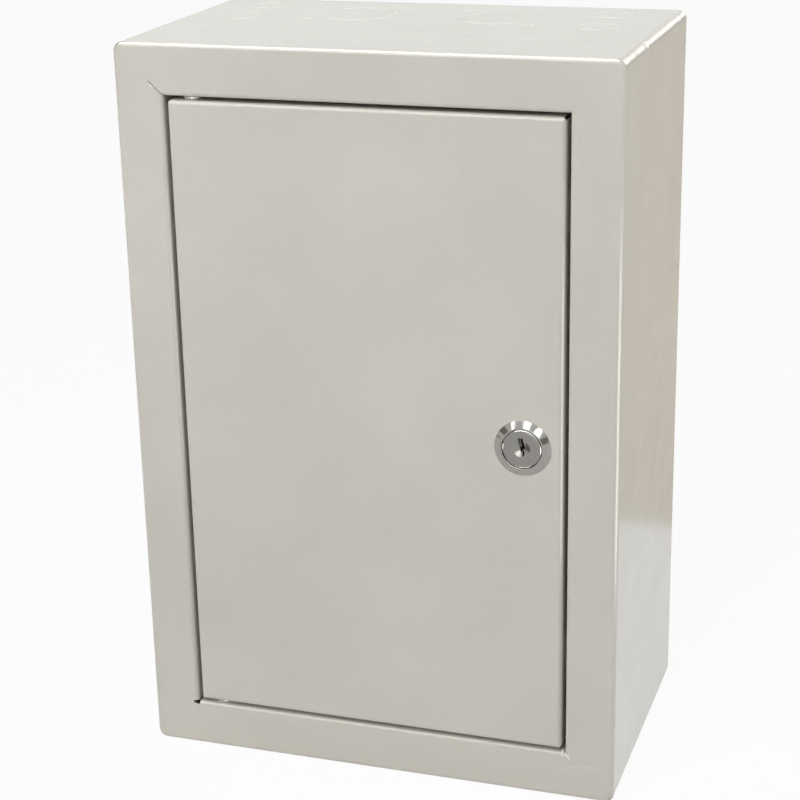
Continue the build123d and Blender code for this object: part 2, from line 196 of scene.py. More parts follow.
def hexBody(flats, height, bore=0.0, turn=0.0):
    # A nut with chamfered ends and a countersunk bore, or a solid head where bore is 0
    inner = flats / 2
    circle = inner * hexagon["faceCircle"]
    slope = math.tan(math.radians(hexagon["chamfer"]))
    countersink = hexagon["countersink"] * flats
    sunk = countersink * hexagon["countersinkDepth"]
    mouth = bore + countersink if bore else 0.0

    def reach(ring, angle):
        side = (angle - turn + math.pi / 6) % (math.pi / 3) - math.pi / 6
        outline = inner / math.cos(side)
        corner = (outline - circle) * slope
        profile = [
            (bore, sunk),
            (mouth, 0.0),
            (circle, 0.0),
            (outline, corner),
            (outline, height - corner),
            (circle, height),
            (mouth, height),
            (bore, height - sunk),
        ]
        return profile[ring]

    steps = hexagon["steps"]
    return rings(8, steps, reach), ringFaces(8, steps, closedProfile=bool(bore))


def along(axis, origin):
    # Places a piece made round local Z so that it points along axis from origin
    spin = Vector((0, 0, 1)).rotation_difference(Vector(axis)).to_matrix().to_4x4()
    return Matrix.Translation(Vector(origin)) @ spin


print("mesh helpers ready")


# Shader groups that several finishes share

def newGroup(name, inputs, outputs):
    group = bpy.data.node_groups.new(name, "ShaderNodeTree")
    for label, kind, value in inputs:
        socket = group.interface.new_socket(label, in_out="INPUT", socket_type=kind)
        socket.default_value = value
    for label, kind in outputs:
        group.interface.new_socket(label, in_out="OUTPUT", socket_type=kind)
    return group, group.nodes.new("NodeGroupInput"), group.nodes.new("NodeGroupOutput")


def feed(tree, node, values):
    # Each input, by name or number, takes a plain value or a link from a socket
    for key, value in values.items():
        if isinstance(value, bpy.types.NodeSocket):
            tree.links.new(value, node.inputs[key])
        else:
            node.inputs[key].default_value = value


def addNode(tree, kind, **settings):
    # Properties come before inputs, as some inputs are there only with them
    node = tree.nodes.new(kind)
    for key, value in settings.items():
        if key in node.inputs:
            feed(tree, node, {key: value})
        else:
            setattr(node, key, value)
    return node


def mathNode(tree, operation, first, second, kind="ShaderNodeMath"):
    node = addNode(tree, kind, operation=operation)
    feed(tree, node, {0: first, 1: second})
    return node.outputs[0]


def vectorNode(tree, operation, first, second):
    return mathNode(tree, operation, first, second, "ShaderNodeVectorMath")


def noiseNode(tree, place, scale, detail, roughness=0.5):
    node = addNode(tree, "ShaderNodeTexNoise", Vector=place, Scale=scale)
    feed(tree, node, {"Detail": detail, "Roughness": roughness})
    return node.outputs["Fac"]


def rangeNode(tree, value, low, high, toLow, toHigh):
    node = addNode(tree, "ShaderNodeMapRange", Value=value)
    feed(tree, node, {"From Min": low, "From Max": high, "To Min": toLow, "To Max": toHigh})
    return node.outputs["Result"]


peel = {
    "cells": 620.0,
    "clouds": 16.0,
    "finerGrit": 4.5,
    "gritHeight": 0.10,
    "gritTone": 0.55,
    "cloudTone": 0.45,
}


def makePeelGroup():
    # Orange peel of sprayed powder: a wavy height, and a tone with slow clouds and fine grit
    group, ins, outs = newGroup(
        "orangePeel",
        [("Cells", "NodeSocketFloat", peel["cells"]), ("Clouds", "NodeSocketFloat", peel["clouds"])],
        [("Height", "NodeSocketFloat"), ("Tone", "NodeSocketFloat")],
    )
    place = addNode(group, "ShaderNodeTexCoord").outputs["Object"]
    gritCells = mathNode(group, "MULTIPLY", ins.outputs["Cells"], peel["finerGrit"])
    wave = noiseNode(group, place, ins.outputs["Cells"], 1.5, 0.45)
    grit = noiseNode(group, place, gritCells, 1.0)
    cloud = noiseNode(group, place, ins.outputs["Clouds"], 3.0, 0.55)
    fine = mathNode(group, "MULTIPLY", grit, peel["gritHeight"])
    clouds = mathNode(group, "MULTIPLY", cloud, peel["cloudTone"])
    grains = mathNode(group, "MULTIPLY", grit, peel["gritTone"])
    feed(group, outs, {
        "Height": mathNode(group, "ADD", wave, fine),
        "Tone": mathNode(group, "ADD", clouds, grains),
    })
    return group


wear = {
    "hairTurns": ((0.2, 0.5, 0.1), (1.1, -0.4, 0.9)),
    "hairBand": (0.60, 0.72),
    "smearCells": 60.0,
    "smearBand": (0.42, 0.62),
}


def makeScratchGroup():
    # Hair scratches in two directions and faint handling smears
    group, ins, outs = newGroup(
        "hairScratches",
        [("Density", "NodeSocketFloat", 900.0), ("Stretch", "NodeSocketFloat", 0.02)],
        [("Scratches", "NodeSocketFloat"), ("Smears", "NodeSocketFloat")],
    )
    place = addNode(group, "ShaderNodeTexCoord").outputs["Object"]
    hairs = []
    for turn in wear["hairTurns"]:
        spin = addNode(group, "ShaderNodeVectorRotate", rotation_type="EULER_XYZ", Vector=place)
        feed(group, spin, {"Rotation": turn})
        squeeze = addNode(group, "ShaderNodeCombineXYZ", X=1.0, Y=ins.outputs["Stretch"], Z=1.0)
        stretch = vectorNode(group, "MULTIPLY", spin.outputs["Vector"], squeeze.outputs["Vector"])
        hair = noiseNode(group, stretch, ins.outputs["Density"], 2.0, 0.6)
        hairs.append(rangeNode(group, hair, *wear["hairBand"], 0.0, 1.0))
    smear = noiseNode(group, place, wear["smearCells"], 3.0)
    feed(group, outs, {
        "Scratches": mathNode(group, "MAXIMUM", *hairs),
        "Smears": rangeNode(group, smear, *wear["smearBand"], 0.0, 1.0),
    })
    return group


spangle = {
    "crystals": 140.0,
    "warpCells": 420.0,
    "warp": 0.004,
    "border": 0.08,
}


def makeSpangleGroup():
    # Crystals of a galvanised sheet, each with its own tone, and their slightly raised borders
    group, ins, outs = newGroup(
        "zincSpangle",
        [("Crystals", "NodeSocketFloat", spangle["crystals"])],
        [("Tone", "NodeSocketFloat"), ("Height", "NodeSocketFloat")],
    )
    place = addNode(group, "ShaderNodeTexCoord").outputs["Object"]
    warp = addNode(group, "ShaderNodeTexNoise", Vector=place, Scale=spangle["warpCells"], Detail=2.0)
    bend = addNode(group, "ShaderNodeVectorMath", operation="SCALE", Scale=spangle["warp"])
    feed(group, bend, {0: warp.outputs["Color"]})
    bent = vectorNode(group, "ADD", place, bend.outputs["Vector"])
    crystals = {"Vector": bent, "Scale": ins.outputs["Crystals"]}
    cell = addNode(group, "ShaderNodeTexVoronoi", feature="F1", **crystals)
    edge = addNode(group, "ShaderNodeTexVoronoi", feature="DISTANCE_TO_EDGE", **crystals)
    split = addNode(group, "ShaderNodeSeparateColor", Color=cell.outputs["Color"])
    border = rangeNode(group, edge.outputs["Distance"], 0.0, spangle["border"], 0.0, 1.0)
    feed(group, outs, {"Tone": split.outputs[0], "Height": border})
    return group


peelGroup = makePeelGroup()
scratchGroup = makeScratchGroup()
spangleGroup = makeSpangleGroup()
print("shader groups ready")


# Finishes

def startMaterial(name, roughness, metallic):
    material = bpy.data.materials.new(name)
    material.use_nodes = True
    tree = material.node_tree
    shader = tree.nodes["Principled BSDF"]
    feed(tree, shader, {"Metallic": metallic, "Roughness": roughness})
    return material, tree, shader


def addGroup(tree, group, **values):
    return addNode(tree, "ShaderNodeGroup", node_tree=group, **values)


def mixColours(tree, factor, first, second):
    # Each colour is three channels or a socket
    first, second = [(*colour, 1) if isinstance(colour, tuple) else colour for colour in (first, second)]
    node = addNode(tree, "ShaderNodeMix", data_type="RGBA")
    feed(tree, node, {"A": first, "B": second, "Factor": factor})
    return node.outputs["Result"]


def bumpFrom(tree, height, distance, strength=1.0):
    node = addNode(tree, "ShaderNodeBump", Strength=strength, Distance=distance, Height=height)
    return node.outputs["Normal"]


def tint(colour, share):
    return tuple(channel * share for channel in colour)


powder = {
    "colour": (0.560, 0.538, 0.488),
    # near white bead colour: a painted highlight on the knockout beads and weld slivers
    "beadHighlightColour": (0.93, 0.92, 0.87),
    "thinTint": 1.13,
    "toneSpread": 0.085,
    "toneBand": (0.3, 0.7),
    "roughness": (0.15, 0.19),
    "peelHeight": 0.045 * mm,
}


def makePowderCoat(name, colour, peelShare=1.0):
    material, tree, shader = startMaterial(name, 0.24, 0.0)
    coat = addGroup(tree, peelGroup)
    handling = addGroup(tree, scratchGroup)
    tone = rangeNode(tree, coat.outputs["Tone"], *powder["toneBand"], 0.0, 1.0)
    low = tint(colour, 1 - powder["toneSpread"])
    high = tint(colour, 1 + powder["toneSpread"])
    feed(tree, shader, {
        "Base Color": mixColours(tree, tone, low, high),
        "Roughness": rangeNode(tree, handling.outputs["Smears"], 0.0, 1.0, *powder["roughness"]),
        "Normal": bumpFrom(tree, coat.outputs["Height"], powder["peelHeight"] * peelShare),
    })
    return material


galvanised = {
    "dark": (0.40, 0.41, 0.42),
    "light": (0.60, 0.61, 0.62),
    "scratch": (0.75, 0.76, 0.77),
    "scratchShare": 0.25,
    "roughness": (0.34, 0.50),
    "borderHeight": 0.01 * mm,
}


def makeGalvanised():
    material, tree, shader = startMaterial("galvanisedSheet", 0.42, 0.9)
    crystals = addGroup(tree, spangleGroup)
    scratches = addGroup(tree, scratchGroup, Density=700.0, Stretch=0.03)
    sheet = mixColours(tree, crystals.outputs["Tone"], galvanised["dark"], galvanised["light"])
    hairs = mathNode(tree, "MULTIPLY", scratches.outputs["Scratches"], galvanised["scratchShare"])
    feed(tree, shader, {
        "Base Color": mixColours(tree, hairs, sheet, galvanised["scratch"]),
        "Roughness": rangeNode(tree, crystals.outputs["Tone"], 0.0, 1.0, *galvanised["roughness"]),
        "Normal": bumpFrom(tree, crystals.outputs["Height"], galvanised["borderHeight"], 0.5),
    })
    return material


platings = {
    "zincPlate": {
        "colour": (0.66, 0.67, 0.69), "worn": (0.56, 0.57, 0.57),
        "roughness": (0.20, 0.32), "bump": 0.002 * mm,
    },
    "brightZinc": {
        "colour": (0.90, 0.90, 0.88), "worn": (0.84, 0.84, 0.82),
        "roughness": (0.08, 0.13), "bump": 0.0008 * mm,
    },
    "copperPlate": {
        "colour": (0.72, 0.42, 0.27), "worn": (0.60, 0.35, 0.22),
        "roughness": (0.26, 0.38), "bump": 0.003 * mm,
    },
    "lockChrome": {
        "colour": (0.74, 0.735, 0.72), "worn": (0.68, 0.675, 0.66),
        "roughness": (0.09, 0.14), "bump": 0.0012 * mm,
    },
}
scratchShare = 0.3      # how strongly scratches show in plating and on the lock's face
scratchTint = 1.15


def makePlating(name, colour, worn, roughness, bump):
    # Bright plating with smears, hair scratches and a faint pitted grain
    material, tree, shader = startMaterial(name, roughness[0], 1.0)
    pits = addGroup(tree, peelGroup, Cells=2400.0, Clouds=90.0)
    scratches = addGroup(tree, scratchGroup, Density=1500.0, Stretch=0.02)
    plate = mixColours(tree, pits.outputs["Tone"], colour, worn)
    hairs = mathNode(tree, "MULTIPLY", scratches.outputs["Scratches"], scratchShare)
    feed(tree, shader, {
        "Base Color": mixColours(tree, hairs, plate, tint(colour, scratchTint)),
        "Roughness": rangeNode(tree, scratches.outputs["Smears"], 0.0, 1.0, *roughness),
        "Normal": bumpFrom(tree, pits.outputs["Height"], bump),
    })
    return material


lockFace = {
    "dark": (0.49, 0.485, 0.465),
    "light": (0.64, 0.635, 0.61),
    "scratch": (0.76, 0.75, 0.73),
    # painted shade: the keyway turns dark and less metallic with depth
    "paintedKeywayShade": (0.075, 0.070, 0.062),
    "paintedShadeDepths": (frontY - 0.55 * mm, frontY + 0.1 * mm),
    "paintedShadeMost": 0.9,
    "roughness": (0.14, 0.22),
    "turnMarks": 9000.0,
    "turnBand": (0.3, 0.7),
    "turnHeight": 0.004 * mm,
}


def makeLockFace():
    # Satin disc with fine turning marks round its own centre, and painted shade down in the keyway: darker
    # and less metallic with depth
    material, tree, shader = startMaterial("satinLockFace", 0.34, 1.0)
    place = addNode(tree, "ShaderNodeTexCoord").outputs["Object"]
    centred = vectorNode(tree, "SUBTRACT", place, (lockX, 0, lockZ))
    flat = vectorNode(tree, "MULTIPLY", centred, (1, 0, 1))
    distance = addNode(tree, "ShaderNodeVectorMath", operation="LENGTH", Vector=flat)
    turned = addNode(tree, "ShaderNodeTexNoise", noise_dimensions="1D", Detail=2.0)
    feed(tree, turned, {"Scale": lockFace["turnMarks"], "W": distance.outputs["Value"]})
    scratches = addGroup(tree, scratchGroup, Density=1800.0, Stretch=0.03)
    face = mixColours(tree, turned.outputs["Fac"], lockFace["dark"], lockFace["light"])
    hairs = mathNode(tree, "MULTIPLY", scratches.outputs["Scratches"], scratchShare)
    marked = mixColours(tree, hairs, face, lockFace["scratch"])
    depth = addNode(tree, "ShaderNodeSeparateXYZ", Vector=place)
    # painted shade, growing with depth into the keyway
    paintedKeywayShade = rangeNode(tree, depth.outputs["Y"], *lockFace["paintedShadeDepths"], 0.0, lockFace["paintedShadeMost"])
    feed(tree, shader, {
        "Metallic": mathNode(tree, "SUBTRACT", 1.0, paintedKeywayShade),
        "Base Color": mixColours(tree, paintedKeywayShade, marked, lockFace["paintedKeywayShade"]),
        "Roughness": rangeNode(tree, turned.outputs["Fac"], *lockFace["turnBand"], *lockFace["roughness"]),
        "Normal": bumpFrom(tree, turned.outputs["Fac"], lockFace["turnHeight"]),
    })
    return material


powderCoat = makePowderCoat("powderCoat", powder["colour"])
# the near white bead coat made here is a painted highlight
paintBeadHighlight = makePowderCoat("paintBeadHighlight", powder["beadHighlightColour"], 0.3)
thinBead = makePowderCoat("thinBead", tint(powder["colour"], powder["thinTint"]), 0.5)
zincPlate, brightZinc, copperPlate, lockChrome = [
    makePlating(name, **plate) for name, plate in platings.items()
]
galvanisedSheet = makeGalvanised()
satinLockFace = makeLockFace()
print("finishes ready")


# CAD nodes keep their meshes and get their finishes
nodeFinish = {
    "body_shell": powderCoat, "door_panel": powderCoat,
    "large_knockout_discs": powderCoat, "small_knockout_discs": powderCoat,
    "screw_knockout_discs": powderCoat,
    "hinge_pin_upper": zincPlate, "hinge_pin_lower": zincPlate,
    "hinge_washer_upper": zincPlate, "hinge_washer_lower": zincPlate,
    "mounting_plate": galvanisedSheet,
    "plate_studs": zincPlate, "plate_nuts": zincPlate,
    "body_earth_stud": copperPlate, "door_earth_stud": copperPlate,
    "body_earth_nut": zincPlate, "door_earth_nut": zincPlate,
    "lock_housing": lockChrome, "lock_plug": satinLockFace, "lock_nut": zincPlate,
    "lock_cam": zincPlate, "cam_screw": zincPlate,
}
for name, finish in nodeFinish.items():
    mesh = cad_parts[name].data
    mesh.materials.clear()
    mesh.materials.append(finish)
print("finishes on", len(nodeFinish), "nodes")


# Lock: rosette with a soft rim, and the barrel with its thread cut away at the flats
lock = {
    "rosetteRadius": (housingHigh.x - housingLow.x) / 2,
    "edge": 0.5 * mm,
    "rimRadius": 8.5 * mm,
    "height": frontY - housingLow.y,
    "recessRadius": 8.05 * mm,
    "boreRadius": 6.1 * mm,
    "barrelRadius": 9.45 * mm,
    "barrelFlats": 17.0 * mm,
    "barrelPitch": 1.5 * mm,
    "threadDepth": 0.75 * mm,
    "core": 0.6 * mm,
    "endRing": 0.9 * mm,
    "soft": 0.12 * mm,
    "steps": 160,
    "barrelSteps": 96,
    "length": housingHigh.y - frontY,
    "lugRoom": (7.7 * mm, 1.8 * mm),
}


def makeLockHousing():
    high = lock["height"]
    outer = lock["rosetteRadius"]
    rim = lock["rimRadius"]
    recess = lock["recessRadius"]
    soft = lock["soft"]
    end = -lock["length"]
    core = lock["barrelRadius"] - lock["core"]
    roomRadius, roomDepth = lock["lugRoom"]
    rosette = lathe([
        (outer - soft, 0.0),
        (outer, soft),
        (outer, lock["edge"] - soft),
        (outer - 0.4 * soft, lock["edge"]),
        (outer - 1.4 * soft, lock["edge"] + 0.55 * soft),
        (rim + 1.0 * soft, high - 0.55 * soft),
        (rim, high - 0.1 * soft),
        (rim - 0.8 * soft, high),
        (recess + 0.6 * soft, high),
        (recess + 0.1 * soft, high - 0.2 * soft),
        (recess, high - 0.8 * soft),
        (recess, 0.0),
        (lock["boreRadius"], 0.0),
        (lock["boreRadius"], end + roomDepth),
        (roomRadius, end + roomDepth),
        (roomRadius, end),
        (core, end),
        (core, -soft),
        (core, 0.0),
    ], lock["steps"])
    rows = int(lock["length"] / lock["barrelPitch"] * thread["rowsPerTurn"])
    steps = lock["barrelSteps"]

    def reach(ring, angle):
        height = -lock["length"] * ring / rows
        radius = lock["barrelRadius"] - lock["threadDepth"] * groove(height, angle, lock["barrelPitch"])
        flat = lock["barrelFlats"] / 2 / max(abs(math.sin(angle)), 0.001)
        return min(radius, flat), height

    barrel = rings(rows + 1, steps, reach), ringFaces(rows + 1, steps, closedProfile=False)
    endRing = [(lock["barrelRadius"] - lock["endRing"], end), (roomRadius, end)]
    ends = lathe(endRing, steps, closedProfile=False)
    vertices, faces = joined(rosette, barrel, ends)
    piece = addPiece(
        "lockHousing", vertices, faces, lockChrome, "door",
        along((0, -1, 0), (lockX, frontY, lockZ)), sharpAngle=38,
    )
    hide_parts("lock_housing")


makeLockHousing()
print("lock housing made")


# Plug: a face with a chamfered rim and a countersunk dimple, cut by the keyway, in millimetres
plug = {
    "faceRadius": 7.9,
    "height": 1.7,
    "back": 0.1,
    "rim": 0.52,
    "rimSteps": 96,
    "flatRing": 5.5,
    "dimpleRadius": 3.4,
    "dimpleRings": (1.03, 0.98, 0.94, 0.6, 0.3, 0.1, 0.03),
    "dimpleDepth": 1.1,
    "keyDepth": 9.0,
    "keyway": [
        (-1.62, 4.28), (-1.45, 4.45), (0.15, 4.48), (0.36, 4.30), (1.22, 0.10), (1.10, -0.05),
        (0.30, -0.02), (0.78, -1.00), (0.98, -1.80), (0.95, -2.50), (0.42, -3.10), (0.06, -2.70),
        (0.16, -1.60), (-0.08, -0.55), (-0.22, -1.50), (-0.52, -1.72), (-0.95, 0.50),
    ],
    "wardDepth": 1.7,
    "ward": [(-1.48, 4.30), (-0.92, 4.30), (-0.28, 0.30), (-0.90, 0.30)],
    "neckRadius": 6.0,
    "neckEnd": -13.9,
    "square": (4.0, -13.7, -15.9),
    "lug": ((-1.5, 5.2, -13.8), (1.5, 7.25, -12.3)),
}


def inside(spot, outline):
    within = False
    for index, (x, y) in enumerate(outline):
        fromX, fromY = outline[index - 1]
        if (y > spot[1]) != (fromY > spot[1]) and spot[0] < (fromX - x) * (spot[1] - y) / (fromY - y) + x:
            within = not within
    return within


def prism(outline, low, high):
    vertices = [(x, y, low) for x, y in outline] + [(x, y, high) for x, y in outline]
    count = len(outline)
    faces = [tuple(range(count)), tuple(range(count, 2 * count))]
    faces += [(step, (step + 1) % count, (step + 1) % count + count, step + count) for step in range(count)]
    return vertices, faces


def plugFace():
    # Face with its dimple and keyway, and the keyway's walls and floor
    points = []
    edges = []

    def addLoop(loop):
        first = len(points)
        points.extend(Vector(spot) for spot in loop)
        edges.extend((first + step, first + (step + 1) % len(loop)) for step in range(len(loop)))

    rimStart = plug["faceRadius"] - plug["rim"]
    addLoop(plug["keyway"])
    dimple = [plug["dimpleRadius"] * share for share in plug["dimpleRings"]]
    turns = [2 * math.pi * step / plug["rimSteps"] for step in range(plug["rimSteps"])]
    for radius in (rimStart, plug["flatRing"], *dimple):
        addLoop([(radius * math.cos(turn), radius * math.sin(turn)) for turn in turns])
    flat, _, triangles, _, _, _ = geometry.delaunay_2d_cdt(points, edges, [], 0, 1e-5)
    vertices = []
    for spot in flat:
        hollow = max(0.0, 1 - spot.length / plug["dimpleRadius"])
        vertices.append((spot.x, spot.y, plug["height"] - plug["dimpleDepth"] * hollow))
    count = len(vertices)
    floor = plug["height"] - plug["keyDepth"]
    vertices += [(x, y, floor) for x, y, _ in vertices]
    faces = []
    uses = {}
    for triangle in triangles:
        middle = sum((flat[index] for index in triangle), Vector((0, 0))) / 3
        if inside(middle, plug["keyway"]):
            faces.append(tuple(index + count for index in triangle))
            continue
        faces.append(tuple(triangle))
        for step, first in enumerate(triangle):
            pair = tuple(sorted((first, triangle[(step + 1) % 3])))
            uses[pair] = uses.get(pair, 0) + 1
    for (first, second), share in uses.items():
        if share == 1 and flat[first].length < rimStart * 0.98:
            faces.append((first, second, second + count, first + count))
    return vertices, faces


def makePlug():
    rimStart = plug["faceRadius"] - plug["rim"]
    profile = [
        (rimStart, plug["height"]),
        (rimStart + 0.06, plug["height"] - 0.02),
        (plug["faceRadius"] - 0.05, plug["height"] - plug["rim"] + 0.09),
        (plug["faceRadius"], plug["height"] - plug["rim"]),
        (plug["faceRadius"], plug["back"]),
        (plug["neckRadius"], plug["back"]),
        (plug["neckRadius"], plug["neckEnd"]),
        (0.0, plug["neckEnd"]),
    ]
    side = lathe(profile, plug["rimSteps"], closedProfile=False)
    half, squareTop, squareEnd = plug["square"]
    square = prism([(-half, -half), (half, -half), (half, half), (-half, half)], squareEnd, squareTop)
    (left, under, lugEnd), (right, over, lugTop) = plug["lug"]
    lug = prism([(left, under), (right, under), (right, over), (left, over)], lugEnd, lugTop)
    ward = prism(plug["ward"], plug["height"] - plug["keyDepth"], plug["height"] - plug["wardDepth"])
    vertices, faces = joined(plugFace(), side, square, lug, ward)
    vertices = [tuple(value * mm for value in vertex) for vertex in vertices]
    piece = addPiece(
        "lockPlug", vertices, faces, satinLockFace, "lock_cylinder",
        along((0, -1, 0), (lockX, frontY, lockZ)), sharpAngle=34,
    )
    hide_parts("lock_plug")


makePlug()
print("lock plug made")


def solidBoxes(node):
    # Box of each separate solid in a node, from its loose mesh islands
    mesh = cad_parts[node].data
    bm = bmesh.new()
    bm.from_mesh(mesh)
    bmesh.ops.remove_doubles(bm, verts=bm.verts, dist=0.001 * mm)
    seen = set()
    boxes = []
    for first in bm.verts:
        if first.index in seen:
            continue
        stack = [first]
        seen.add(first.index)
        island = []
        while stack:
            vertex = stack.pop()
            island.append(vertex.co.copy())
            for edge in vertex.link_edges:
                other = edge.other_vert(vertex)
                if other.index not in seen:
                    seen.add(other.index)
                    stack.append(other)
        low = Vector([min(co[axis] for co in island) for axis in range(3)])
        high = Vector([max(co[axis] for co in island) for axis in range(3)])
        boxes.append((low, high))
    bm.free()
    return boxes


# Studs: the plate's have a hexagon shoulder, and the earth studs are threaded all along
stud = {
    "radius": 2.97 * mm,
    "pitch": 1.0 * mm,
    "shoulder": 10 * mm,
    "flats": 10 * mm,
}
earthStuds = {
    "bodyEarthStud": {"node": "body_earth_stud", "axis": -1, "body": "cabinet"},
    "doorEarthStud": {"node": "door_earth_stud", "axis": 1, "body": "door"},
}


def makePlateStuds():
    parts = []
    for low, high in solidBoxes("plate_studs"):
        middle = (low + high) / 2
        shoulder = stud["shoulder"]
        base = along((0, -1, 0), (middle.x, high.y, middle.z))
        tip = along((0, -1, 0), (middle.x, high.y - shoulder, middle.z))
        length = high.y - low.y - shoulder
        parts.append(shifted(hexBody(stud["flats"], shoulder), base))
        parts.append(shifted(threadedRod(stud["radius"], length, stud["pitch"]), tip))
    vertices, faces = joined(*parts)
    piece = addPiece("plateStuds", vertices, faces, zincPlate, "cabinet", sharpAngle=50)
    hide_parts("plate_studs")


def makeEarthStud(name, node, axis, body):
    low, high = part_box(node)
    start = high.y if axis < 0 else low.y
    place = along((0, axis, 0), ((low.x + high.x) / 2, start, (low.z + high.z) / 2))
    vertices, faces = shifted(threadedRod(stud["radius"], high.y - low.y, stud["pitch"]), place)
    piece = addPiece(name, vertices, faces, copperPlate, body, sharpAngle=50)
    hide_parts(node)


# Cam screw: a flanged hexagon head and a plain shank
camScrew = {
    "headHeight": 3.8 * mm,
    "headFlats": 7 * mm,
    "flangeHeight": 1 * mm,
    "flangeEdge": 0.3 * mm,
    "shankRadius": 2 * mm,
}


def makeCamScrew():
    low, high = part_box("cam_screw")
    flange = (high.x - low.x) / 2
    seat = high.y - camScrew["headHeight"]
    flangeTop = seat + camScrew["flangeHeight"]
    profile = [(0.0, seat), (flange, seat), (flange, flangeTop), (0.0, flangeTop)]
    place = along((0, 1, 0), (lockX, 0, lockZ))
    disc = shifted(lathe(softened(profile, camScrew["flangeEdge"]), 72), place)
    seated = along((0, 1, 0), (lockX, seat, lockZ))
    head = shifted(hexBody(camScrew["headFlats"], camScrew["headHeight"]), seated)
    radius = camScrew["shankRadius"]
    shank = shifted(lathe([(0.0, low.y), (radius, low.y), (radius, seat), (0.0, seat)], 32), place)
    vertices, faces = joined(disc, head, shank)
    piece = addPiece("camScrew", vertices, faces, zincPlate, "lock_cylinder")
    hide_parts("cam_screw")


# Hinges: riveted pins with rounded heads, and rounded washers that shine in the gap
hinge = {
    "rivetRadius": 2.8 * mm,
    "rivetHeight": 1.2 * mm,
    "pinRadius": 2.0 * mm,
    "headRadius": 3.25 * mm,
    "headHeight": 1.5 * mm,
    "pinEdge": 0.6 * mm,
    "washerBore": 2.05 * mm,
    "washerOver": 0.75 * mm,
    "washerEdge": 0.68 * mm,
}


def makeHinge(end, side):
    low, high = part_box("hinge_pin_" + end)
    place = Matrix.Translation(((low.x + high.x) / 2, (low.y + high.y) / 2, 0))
    tip, head = (low.z, high.z) if side > 0 else (high.z, low.z)
    rivet = tip + side * hinge["rivetHeight"]
    neck = head - side * hinge["headHeight"]
    profile = [
        (0.0, tip),
        (hinge["rivetRadius"], tip),
        (hinge["rivetRadius"], rivet),
        (hinge["pinRadius"], rivet),
        (hinge["pinRadius"], neck),
        (hinge["headRadius"], neck),
        (hinge["headRadius"], head),
        (0.0, head),
    ]
    vertices, faces = lathe(softened(profile, hinge["pinEdge"]), 56)
    pin = addPiece("hingePin_" + end, vertices, faces, zincPlate, "cabinet", place)
    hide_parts("hinge_pin_" + end)
    low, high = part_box("hinge_washer_" + end)
    outer = (high.x - low.x) / 2 + hinge["washerOver"]
    bore = hinge["washerBore"]
    ring = [(bore, low.z), (outer, low.z), (outer, high.z), (bore, high.z)]
    vertices, faces = lathe(softened(ring, hinge["washerEdge"], 6), 72)
    washer = addPiece("hingeWasher_" + end, vertices, faces, brightZinc, "cabinet", place)
    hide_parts("hinge_washer_" + end)


# Nuts, with their width across flats and how far their corners are turned
studNut = {"flats": 10 * mm, "bore": 2.9 * mm, "turn": 0}
nuts = {
    "plateNuts": {"node": "plate_nuts", "body": "cabinet", **studNut},
    "bodyEarthNut": {"node": "body_earth_nut", "body": "cabinet", **studNut},
    "doorEarthNut": {"node": "door_earth_nut", "body": "door", **studNut},
    "lockNut": {"node": "lock_nut", "body": "door", "flats": 24 * mm, "bore": 9.2 * mm, "turn": 30},
}


def makeNuts(name, node, body, flats, bore, turn):
    parts = []
    for low, high in solidBoxes(node):
        middle = (low + high) / 2
        place = along((0, -1, 0), (middle.x, high.y, middle.z))
        parts.append(shifted(hexBody(flats, high.y - low.y, bore, math.radians(turn)), place))
    vertices, faces = joined(*parts)
    piece = addPiece(name, vertices, faces, zincPlate, body)
    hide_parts(node)


makePlateStuds()
makeCamScrew()
makeHinge("upper", 1)
makeHinge("lower", -1)
for name, shape in earthStuds.items():
    makeEarthStud(name, **shape)
for name, shape in nuts.items():
    makeNuts(name, **shape)
print("fasteners made")


# Knockouts: each disc gets a soft edge, and a raised bead of paint bridges its sheared gap; the bead's coat
# is near white, a painted highlight
knockout = {
    "gap": 0.45 * mm,
    "beadOver": 0.30 * mm,
    "beadOut": 0.03 * mm,
    "beadTop": 0.03 * mm,
    "beadDepth": 0.22 * mm,
    "edge": 0.06 * mm,
    "sheet": 1.0 * mm,
    "steps": {"large": 120, "small": 120, "screw": 48},
    "domeSteps": 6,
}


def makeKnockouts(size, steps):
    node = size + "_knockout_discs"
    discs = []
    beads = []
    for low, high in solidBoxes(node):
        radius = (high.x - low.x) / 2
        place = Matrix.Translation(((low.x + high.x) / 2, (low.y + high.y) / 2, shellHigh.z))
        inner = radius - knockout["beadOver"]
        outer = radius + knockout["gap"] + knockout["beadOut"]
        discs.append(shifted(lathe([
            (0.0, 0.0),
            (inner - knockout["edge"], 0.0),
            (inner, -knockout["edge"]),
            (inner, -knockout["sheet"]),
            (0.0, -knockout["sheet"]),
        ], steps, closedProfile=False), place))
        middle = (inner + outer) / 2
        half = (outer - inner) / 2
        profile = [(outer, -knockout["beadDepth"] - half), (inner, -knockout["beadDepth"] - half)]
        for step in range(knockout["domeSteps"] + 1):
            angle = math.pi * (1 - step / knockout["domeSteps"])
            dome = knockout["beadDepth"] * (math.sin(angle) - 1) + knockout["beadTop"]
            profile.append((middle + half * math.cos(angle), dome))
        beads.append(shifted(lathe(profile, steps), place))
    vertices, faces = joined(*discs)
    piece = addPiece(size + "KnockoutDiscs", vertices, faces, powderCoat, "cabinet")
    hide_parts(node)
    vertices, faces = joined(*beads)
    addPiece(size + "KnockoutBeads", vertices, faces, paintBeadHighlight, "cabinet", sharpAngle=60)


for size, steps in knockout["steps"].items():
    makeKnockouts(size, steps)
print("knockouts made")


